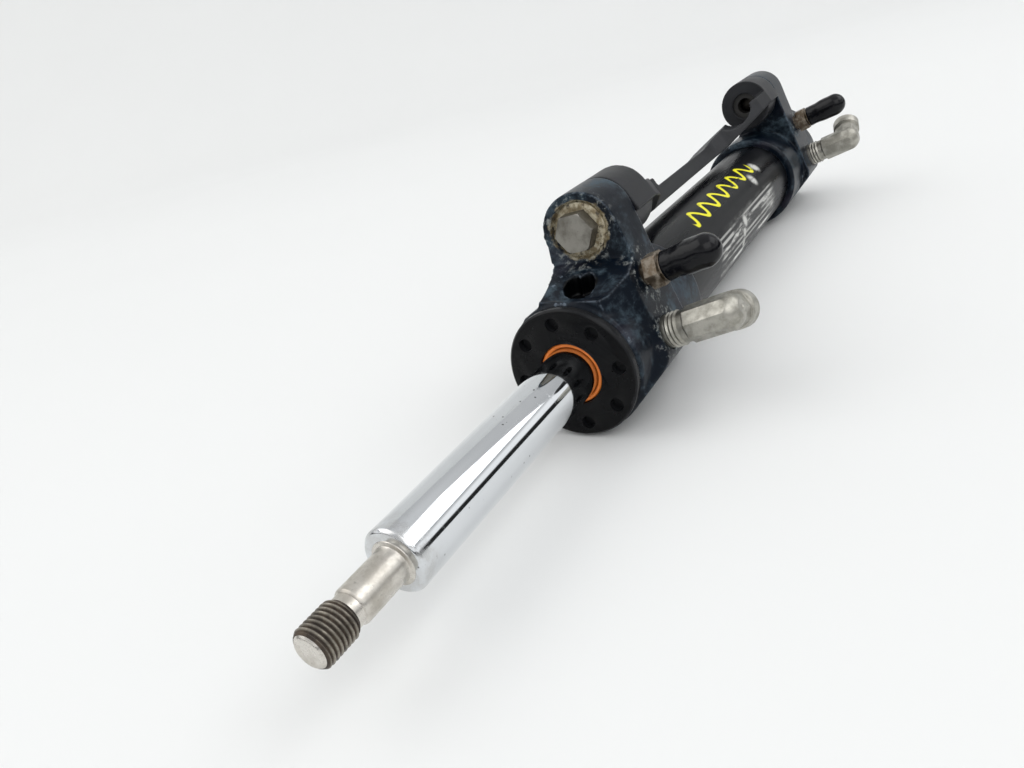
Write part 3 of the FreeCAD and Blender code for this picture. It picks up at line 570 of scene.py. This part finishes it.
def link_look():
    """Matt graphite coating, rubbed a little lighter on its edges."""
    look = Look("link_graphite_coat")
    cloud = look.noise(70, detail=7, roughness=0.6)
    grain = look.noise(1500, detail=4, roughness=0.7)
    tint = look.blend(look.ramp(cloud, 0.35, 0.7), (0.007, 0.0075, 0.0095, 1),
                      (0.018, 0.019, 0.0225, 1))
    lighter_edges = look.math("MULTIPLY", look.edges(0.53, 0.62), look.ramp(grain, 0.45, 0.6))
    tint = look.blend(look.math("MULTIPLY", lighter_edges, 0.4), tint, (0.28, 0.28, 0.28, 1))
    look.set(Base_Color=tint, Roughness=look.ramp(cloud, 0.3, 0.7, 0.36, 0.5),
             Specular_IOR_Level=0.28)
    look.bump(grain, strength=0.12, distance=0.0001)
    return look.material


def wiper_look():
    """Orange polyurethane, a little uneven and dusty."""
    look = Look("wiper_polyurethane")
    cloud = look.noise(260, detail=5)
    tint = look.blend(cloud, (0.74, 0.155, 0.018, 1), (0.98, 0.3, 0.045, 1))
    look.set(Base_Color=tint, Roughness=look.ramp(cloud, 0.3, 0.7, 0.3, 0.42))
    look.bump(look.noise(900, detail=3), strength=0.08, distance=0.0001)
    return look.material


def plain_look(name, tint, rough, metallic=0.0, variation=0.25):
    """A simple surface with gentle colour and roughness variation."""
    look = Look(name)
    cloud = look.noise(160, detail=5)
    dark = tuple(c * (1 - variation) for c in tint[:3]) + (1,)
    look.set(Base_Color=look.blend(cloud, dark, tint), Metallic=metallic,
             Roughness=look.ramp(cloud, 0.3, 0.7, rough - 0.05, rough + 0.08))
    look.bump(look.noise(900, detail=3), strength=0.08, distance=0.0001)
    return look.material


# --- pieces ---------------------------------------------------------------------------------------

def castings():
    look = casting_look()
    for end in ("near", "far"):
        node = end + "_end_casting"
        mesh = cast_copy(node, (0.45 * MM, 5))
        add_piece(end + "_casting", mesh, "barrel", look, [node])


def glands():
    look = gland_look()
    for node in ("near_gland", "far_end_plug"):
        mesh = machined_copy(node, 0.12 * MM)
        add_piece(node + "_turned", mesh, "barrel", look, [node])
        mesh.set_sharp_from_angle(angle=math.radians(30))


def wiper():
    """The rod wiper: one rounded orange lip that stands round the rod."""
    low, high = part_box("rod_wiper")
    front = high.x
    inner = 9.62 * MM
    lip = [(front - 0.9 * MM, 11.2 * MM), (front - 0.35 * MM, 11.12 * MM),
           (front - 0.08 * MM, 10.88 * MM), (front, 10.6 * MM), (front - 0.03 * MM, 10.3 * MM),
           (front - 0.2 * MM, 9.95 * MM), (front - 0.5 * MM, 9.7 * MM), (front - 0.8 * MM, inner)]
    bm = bmesh.new()
    tube(bm, [(low.x, inner), (low.x, high.y), (front - 1.2 * MM, high.y)] + lip, segments=128)
    add_piece("rod_wiper_lip", mesh_of("rod_wiper_lip", bm), "barrel", wiper_look(),
              ["rod_wiper"])


def barrel():
    low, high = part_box("barrel_tube")
    bore = 17.5 * MM
    bm = bmesh.new()
    tube(bm, [(low.x, bore), (low.x, high.y), (high.x, high.y), (high.x, bore)], segments=160)
    mesh = mesh_of("barrel", bm)
    add_piece("barrel", mesh, "barrel", barrel_look(), ["barrel_tube"])
    mesh.set_sharp_from_angle(angle=math.radians(40))


def rod():
    """Chromed rod, its shouldered stud and the rolled thread, as three materials on turned pieces."""
    low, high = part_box("piston_rod")
    radius = high.y
    thread = MOUNTS["rod_thread"]
    shoulder = high.x - 30 * MM
    shank_end = high.x - 14 * MM
    shank = 5.2 * MM
    chrome = chrome_look()
    bm = bmesh.new()
    spigot = 7 * MM
    spigot_front = -146 * MM
    lathe(bm, rounded([
        (low.x, 0.5 * MM), (low.x, spigot - 0.8 * MM), (low.x + 0.8 * MM, spigot),
        (spigot_front, spigot), (spigot_front, radius), (shoulder - 1.0 * MM, radius),
        (shoulder - 0.1 * MM, radius - 0.75 * MM), (shoulder, radius - 1.5 * MM),
        (shoulder, shank)], 0.3 * MM), segments=160)
    mesh = mesh_of("rod_shaft", bm)
    add_piece("rod_shaft", mesh, "rod", chrome, ["piston_rod"])
    mesh.set_sharp_from_angle(angle=math.radians(32))
    stud_look = steel_look("stud_steel", (0.66, 0.63, 0.58, 1), (0.47, 0.44, 0.39, 1), rough=0.26)
    bm = bmesh.new()
    lathe(bm, rounded([
        (shoulder - 0.5 * MM, shank + 1.4 * MM), (shoulder + 0.25 * MM, shank + 1.3 * MM),
        (shoulder + 0.5 * MM, shank + 0.2 * MM), (shoulder + 1.4 * MM, shank),
        (shank_end - 0.6 * MM, shank), (shank_end, shank - 0.5 * MM), (shank_end, 4.6 * MM),
        (shank_end + 3.2 * MM, 4.5 * MM)], 0.25 * MM), segments=96)
    mesh = mesh_of("stud_shank", bm)
    add_piece("stud_shank", mesh, "rod", stud_look)
    mesh.set_sharp_from_angle(angle=math.radians(32))
    add_piece("stud_thread", stud_thread(shank_end + 2.3 * MM, high.x, thread["dims"]["r_mm"] * MM),
              "rod", thread_look())
    add_piece("stud_tip", stud_tip(high.x), "rod", stud_look)


def stud_thread(start, end, crest):
    """A 20-per-inch thread as one helical surface, fading out at both ends."""
    pitch = 25.4 * MM / 20
    depth = 0.75 * MM
    turn_steps = 72
    pitch_steps = 10
    length = end - 0.6 * MM - start
    rows = int(length / pitch * pitch_steps)
    bm = bmesh.new()
    rings = []
    for row in range(rows + 1):
        x = start + length * row / rows
        ring = []
        for step in range(turn_steps):
            angle = PI2 * step / turn_steps
            phase = ((x / pitch) - step / turn_steps) % 1.0
            groove = max(0.0, 1 - abs(phase - 0.5) / 0.42)
            fade = min(1.0, (x - start) / pitch, (start + length - x) / (0.8 * pitch) + 0.15)
            r = crest - depth * groove
            r = min(r, 4.6 * MM + (crest - 4.6 * MM) * fade)
            ring.append(Vector((x, r * math.cos(angle), r * math.sin(angle))))
        rings.append(ring)
    rings_mesh(bm, rings)
    return mesh_of("stud_thread", bm)


def stud_tip(end):
    """The chamfered, slightly dished end of the stud."""
    bm = bmesh.new()
    lathe(bm, rounded([
        (end - 2.0 * MM, 4.4 * MM), (end - 1.3 * MM, 4.85 * MM), (end - 0.9 * MM, 4.9 * MM),
        (end, 4.0 * MM), (end, 2.9 * MM), (end - 0.15 * MM, 2.5 * MM), (end - 0.15 * MM, 0.1 * MM),
    ], 0.35 * MM, 4), segments=72)
    return mesh_of("stud_tip", bm)


def hex_head(bm, place, flats, height):
    """A hexagon head with a chamfered top: X is up from its seat."""
    across = flats / 2
    corner = across / math.cos(math.pi / 6)
    side_angle = math.radians(60)
    chamfer_slope = math.tan(math.radians(30))

    def hexed(x, angle, radius):
        flat = across / math.cos((angle % side_angle) - side_angle / 2)
        top = corner * 0.93 + (height - x) / chamfer_slope
        return min(radius, flat, top) if radius > across * 0.9 else radius

    profile = [(0, across * 0.5)] + [(height * step / 24, corner) for step in range(25)]
    profile += [(height, across * 0.86), (height - 0.02 * MM, 0.2 * MM)]
    lathe(bm, profile, place, 96, hexed)


def pivot_bolts():
    """Hexagon bolts with washers. Only the heads and washers show."""
    look = steel_look("bolt_stainless", (0.25, 0.24, 0.215, 1), (0.15, 0.14, 0.12, 1), rough=0.36)
    low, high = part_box("pivot_bolts")
    washer_low, washer_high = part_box("pivot_bolt_washers")
    thickness = 1.2 * MM
    heads = bmesh.new()
    washers = bmesh.new()
    shanks = bmesh.new()
    for face, direction, top in ((washer_high.x, 1, high.x), (washer_low.x, -1, low.x)):
        seat = Vector((face, PIVOT.y, PIVOT.z))
        place = placed(seat, (direction, 0, 0), (0, math.sin(BOLT_TURN), math.cos(BOLT_TURN)))
        hex_head(heads, place, BOLT_FLATS, abs(top - face))
        lathe(shanks, [(-29.6 * MM, 2.5 * MM), (-29.0 * MM, 3.9 * MM), (0, 3.9 * MM)], place, 48)
        tube(washers, [(-thickness, 4.2 * MM), (-thickness, 9.3 * MM), (-0.2 * MM, 9.3 * MM),
                       (0, 9.0 * MM), (0, 4.2 * MM)], place, 96)
    heads_mesh = mesh_of("bolt_heads", heads)
    add_piece("bolt_heads", heads_mesh, "barrel", look, ["pivot_bolts"])
    heads_mesh.set_sharp_from_angle(angle=math.radians(25))
    grime = steel_look("bolt_shank_grime", (0.05, 0.045, 0.04, 1), (0.02, 0.018, 0.016, 1), rough=0.5)
    add_piece("bolt_shanks", mesh_of("bolt_shanks", shanks), "barrel", grime)
    washer_look = Look("washer_corrosion")
    crust = washer_look.noise(300, detail=7, roughness=0.75)
    washer_look.set(Base_Color=crust_tint(washer_look, crust), Metallic=0.0,
                    Roughness=washer_look.ramp(crust, 0.4, 0.6, 0.6, 0.88))
    washer_look.bump(crust, strength=0.7, distance=0.0004)
    add_piece("bolt_washers", mesh_of("bolt_washers", washers), "barrel",
              washer_look.material, ["pivot_bolt_washers"])


def link():
    mesh = cast_copy("pivot_link", (0.5 * MM, 4))
    add_piece("link_arms", mesh, "link", link_look(), ["pivot_link"])


def elbows():
    look = nickel_look()
    for end in ("near", "far"):
        node = end + "_port_elbow"
        mesh = cast_copy(node, (0.16 * MM, 5))
        add_piece(end + "_elbow", mesh, "barrel", look, [node])


def bleeders():
    brass = brass_look()
    vinyl = vinyl_look()
    for end in ("near", "far"):
        joint = JOINTS[end + "_bleed_turn"]
        place = placed(joint["pos_m"], SIDE_OUT, (1, 0, 0))
        bm = bmesh.new()
        seat = 1.8 * MM
        height = 6.7 * MM
        lift = place @ Matrix.Translation((seat, 0, 0))
        hex_head(bm, lift, 11.1 * MM, height - seat)
        lathe(bm, [(-7.6 * MM, 2.9 * MM), (-6.6 * MM, 3.9 * MM), (seat, 3.9 * MM)], place, 48)
        lathe(bm, rounded([
            (height, 4.4 * MM), (height + 0.5 * MM, 4.75 * MM), (height + 1.2 * MM, 4.75 * MM),
            (height + 1.3 * MM, 3.2 * MM), (20.4 * MM, 3.2 * MM), (21.9 * MM, 1.7 * MM),
            (21.9 * MM, 1.0 * MM), (15 * MM, 1.0 * MM)], 0.2 * MM), place, 64)
        mesh = mesh_of(end + "_bleeder", bm)
        add_piece(end + "_bleeder", mesh, end + "_bleed", brass, [end + "_bleed_screw"])
        mesh.set_sharp_from_angle(angle=math.radians(28))
        bm = bmesh.new()
        lathe(bm, vinyl_cap_profile(), place, 72, cap_ripple)
        add_piece(end + "_cap", mesh_of(end + "_cap", bm), end + "_cap", vinyl,
                  [end + "_bleed_cap"])


def vinyl_cap_profile():
    """Outside from the mouth to the rounded end, then back up the inside."""
    start, end = 7.75 * MM, 27.95 * MM
    mouth, middle, tip = 5.4 * MM, 4.95 * MM, 5.8 * MM
    inner = 3.35 * MM
    outside = [(start, mouth - 0.25 * MM), (start + 0.2 * MM, mouth)]
    for step in range(1, 15):
        part = step / 15
        swell = middle + (tip - middle) * (0.5 - 0.5 * math.cos(math.pi * min(1, part * 1.5)))
        pinch = (mouth - middle) * max(0, 1 - part * 3)
        outside.append((start + (end - tip - start) * part, swell + pinch))
    for step in range(13):
        angle = math.pi / 2 * step / 12
        outside.append((end - tip + tip * math.sin(angle), max(0.05 * MM, tip * math.cos(angle))))
    inside = [(end - 1.7 * MM, 0.05 * MM), (end - 1.7 * MM, inner), (start, inner)]
    return inside[::-1] + outside


def cap_ripple(x, angle, radius):
    """A slight unevenness round the cap, fading out at its mouth and tip."""
    if radius < 4.4 * MM:
        return radius
    return radius - 0.05 * MM * (1 + math.sin(3 * angle + x * 900))


def hidden_looks():
    """Materials for the CAD nodes that are kept as they are."""
    rubber = plain_look("seal_nitrile", (0.02, 0.02, 0.021, 1), 0.5)
    bronze = plain_look("bushing_bronze_metal", (0.5, 0.34, 0.17, 1), 0.35, metallic=1.0)
    dark = plain_look("bushing_dark_plastic", (0.012, 0.011, 0.01, 1), 0.6)
    alloy = plain_look("piston_alloy", (0.62, 0.62, 0.64, 1), 0.3, metallic=1.0)
    nylon = plain_look("wear_ring_nylon", (0.32, 0.24, 0.16, 1), 0.5)
    steel = steel_look("nut_steel", (0.5, 0.5, 0.5, 1), (0.36, 0.35, 0.33, 1))
    looks = {
        "seal_rubber": rubber, "bushing_bronze": bronze, "bushing_dark": dark,
        "piston_aluminium": alloy, "wear_ring_plastic": nylon, "bolt_steel": steel,
    }
    slots = {row["node"]: row["material_slot"] for row in RECORD["subparts"]}
    for name, node in NODES.items():
        if slots[name] in looks:
            for material_slot in node.material_slots:
                material_slot.material = looks[slots[name]]


# --- stage ----------------------------------------------------------------------------------------

def floor():
    """A pale paper sweep: flat under the object and rising behind it, away from the camera."""
    level = CAD_BOX[0][2] - 0.0002
    reach, bend, height = 1.5, 1.1, 2.6
    side = [(-4.0, 0.0), (0.0, 0.0), (reach, 0.0)]
    for step in range(1, 25):
        angle = math.pi / 2 * step / 24
        side.append((reach + bend * math.sin(angle), bend * (1 - math.cos(angle))))
    side.append((reach + bend, height))
    back = Vector((VIEW_FORWARD.x, VIEW_FORWARD.y, 0)).normalized()
    across = Vector((-back.y, back.x, 0))
    bm = bmesh.new()
    rows = [[bm.verts.new(back * out + across * sideways + Vector((0, 0, level + up)))
             for sideways in (-4.5, -1.5, 1.5, 4.5)] for out, up in side]
    for row, following in zip(rows, rows[1:]):
        for index in range(3):
            bm.faces.new((row[index], row[index + 1], following[index + 1], following[index]))
    corners = ((-16, -16), (16, -16), (16, 16), (-16, 16))
    bm.faces.new([bm.verts.new((x, y, level - 0.0005)) for x, y in corners])
    sheet = bpy.data.objects.new("floor", mesh_of("floor", bm))
    bpy.context.scene.collection.objects.link(sheet)
    for face in sheet.data.polygons:
        face.use_smooth = True
    look = Look("floor_paper")
    tint = look.blend(look.noise(3, detail=2), (0.79, 0.795, 0.79, 1), (0.81, 0.815, 0.81, 1))
    look.set(Base_Color=tint, Roughness=0.6, Specular_IOR_Level=0.2)
    sheet.data.materials.append(look.material)


def area_light(name, place, target, size, power, tint=(1, 1, 1)):
    data = bpy.data.lights.new(name, "AREA")
    data.shape = "RECTANGLE"
    data.size, data.size_y = size
    data.energy = power
    data.color = tint
    lamp = bpy.data.objects.new(name, data)
    lamp.location = place
    lamp.rotation_euler = (Vector(target) - Vector(place)).to_track_quat("-Z", "Y").to_euler()
    bpy.context.scene.collection.objects.link(lamp)


def lights():
    """A soft room: a dark band at the horizon, a bright band above it, and grey higher up.

    Only reflections and light come from the bands: beyond the floor, the room itself is a plain pale.
    """
    world = bpy.data.worlds.new("studio")
    world.use_nodes = True
    nodes, links = world.node_tree.nodes, world.node_tree.links
    height = nodes.new("ShaderNodeSeparateXYZ")
    links.new(nodes.new("ShaderNodeTexCoord").outputs["Generated"], height.inputs[0])
    ramp = nodes.new("ShaderNodeValToRGB")
    links.new(height.outputs["Z"], ramp.inputs[0])
    stops = ((0.0, 0.02), (0.15, 0.02), (0.21, 1.0), (0.34, 1.0), (0.46, 0.5), (0.72, 0.55), (1.0, 0.8))
    ramp.color_ramp.interpolation = "EASE"
    for index, (place, level) in enumerate(stops):
        element = ramp.color_ramp.elements[index] if index < 2 else ramp.color_ramp.elements.new(place)
        element.position = place
        element.color = (level * 0.98, level * 0.99, level, 1)
    seen = nodes.new("ShaderNodeMix")
    seen.data_type = "RGBA"
    links.new(nodes.new("ShaderNodeLightPath").outputs["Is Camera Ray"], seen.inputs["Factor"])
    links.new(ramp.outputs[0], seen.inputs[6])
    seen.inputs[7].default_value = (0.75, 0.76, 0.76, 1)
    background = nodes["Background"]
    links.new(seen.outputs[2], background.inputs["Color"])
    background.inputs["Strength"].default_value = 1.12
    bpy.context.scene.world = world
    bpy.context.scene.view_settings.view_transform = "Standard"
    middle = (-0.1, 0, 0)
    area_light("key", (1.0, -2.2, 2.7), middle, (3.2, 2.5), 34, (1.0, 0.995, 0.975))
    area_light("front", (1.5, 1.5, 2.2), middle, (2.2, 2.0), 20, (1.0, 1.0, 0.99))
    area_light("fill", (-1.2, 1.9, 2.4), middle, (2.6, 2.0), 30, (0.98, 0.99, 1))


def camera():
    """The view of the rod's end from above, on the side of the ports, with a short lens."""
    data = bpy.data.cameras.new("view")
    data.lens = VIEW_LENS
    data.sensor_width = 36
    right = VIEW_FORWARD.cross(Vector((0, 0, 1))).normalized()
    up = right.cross(VIEW_FORWARD)
    turned_right = right * math.cos(VIEW_ROLL) + up * math.sin(VIEW_ROLL)
    turned_up = turned_right.cross(VIEW_FORWARD)
    eye = bpy.data.objects.new("view", data)
    eye.matrix_world = Matrix.Translation(VIEW_PLACE) @ Matrix(
        (turned_right, turned_up, -VIEW_FORWARD)).transposed().to_4x4()
    bpy.context.scene.collection.objects.link(eye)
    bpy.context.scene.camera = eye


castings()
glands()
wiper()
barrel()
rod()
pivot_bolts()
link()
elbows()
bleeders()
hidden_looks()
floor()
lights()
camera()
